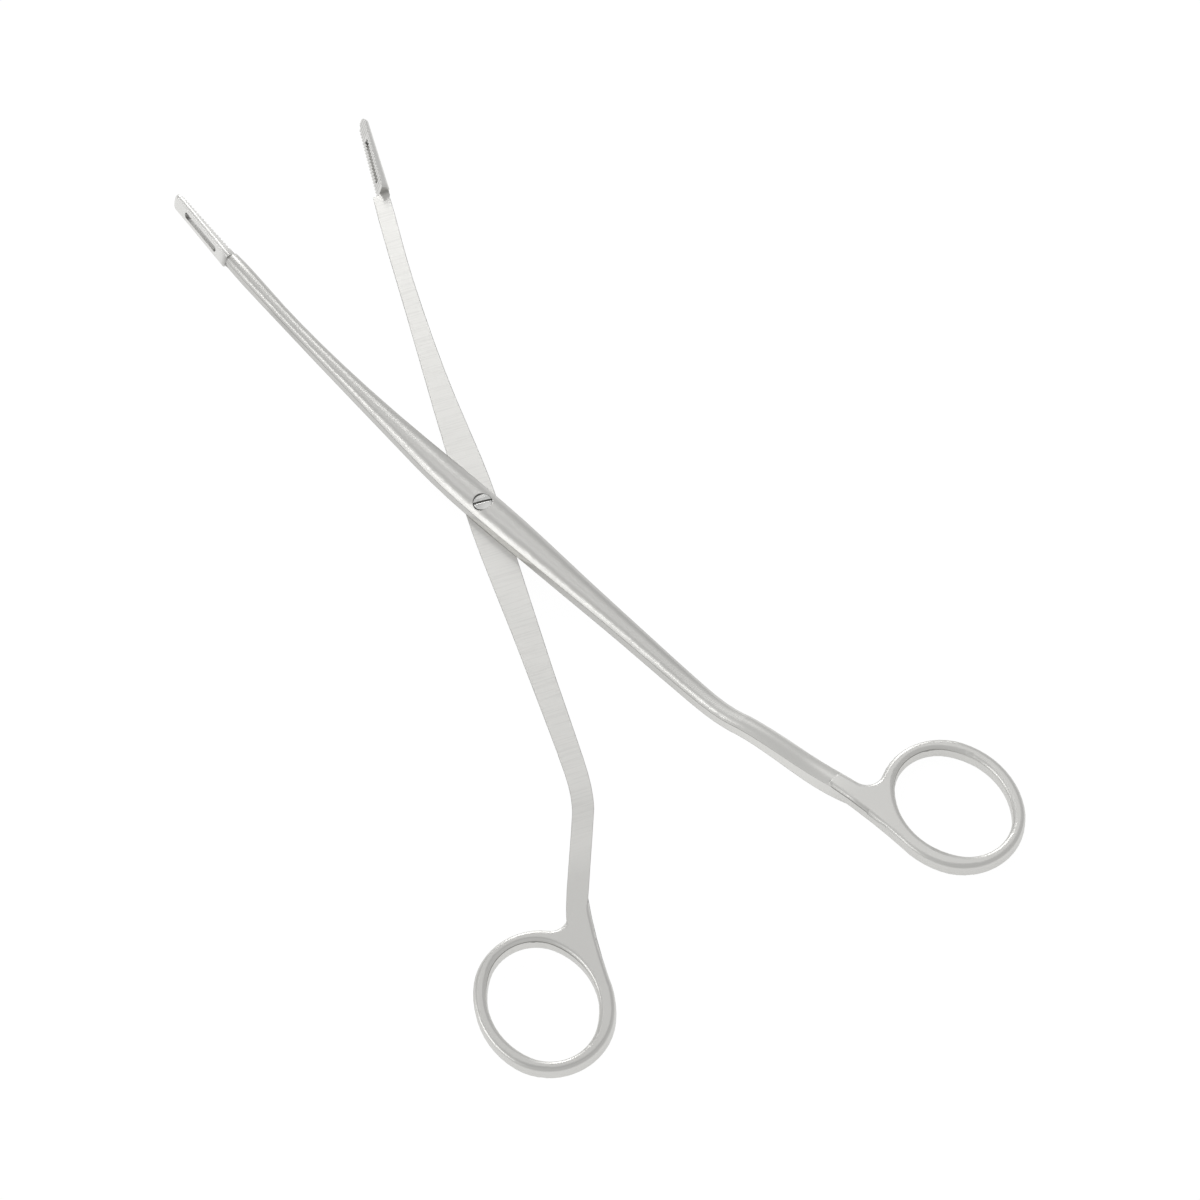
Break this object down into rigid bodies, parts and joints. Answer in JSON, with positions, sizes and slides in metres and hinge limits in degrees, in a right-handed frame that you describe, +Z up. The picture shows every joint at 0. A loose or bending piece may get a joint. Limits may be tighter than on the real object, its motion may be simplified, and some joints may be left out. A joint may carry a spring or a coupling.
{
  "type": "gallstone forceps",
  "caption": "Long ring-handled forceps: two crossing steel arms on a slotted pivot screw, with narrow windowed jaws and fine cross teeth.",
  "frame": {"origin": "centre of the flat underside of the pivot screw", "axes": "+Z up along the pivot axis, from the lower arm to the upper arm; +X from the pivot towards the jaws, midway between the two arms"},
  "size_m": [0.2243, 0.1085, 0.007],
  "materials": {
    "satin_steel": "satin ground stainless steel, fine grinding lines across the flat inner faces",
    "screw_steel": "satin stainless steel, turned"
  },
  "bodies": {
    "lower": {"lower_arm": "satin_steel", "pivot_screw": "screw_steel"},
    "upper": {"upper_arm": "satin_steel"}
  },
  "joints": [
    {"name": "pivot", "type": "hinge", "parent": "lower", "child": "upper", "pos_m": [0, 0, 0.00305], "axis": [0, 0, 1], "range_deg": [-23, 37]}
  ]
}
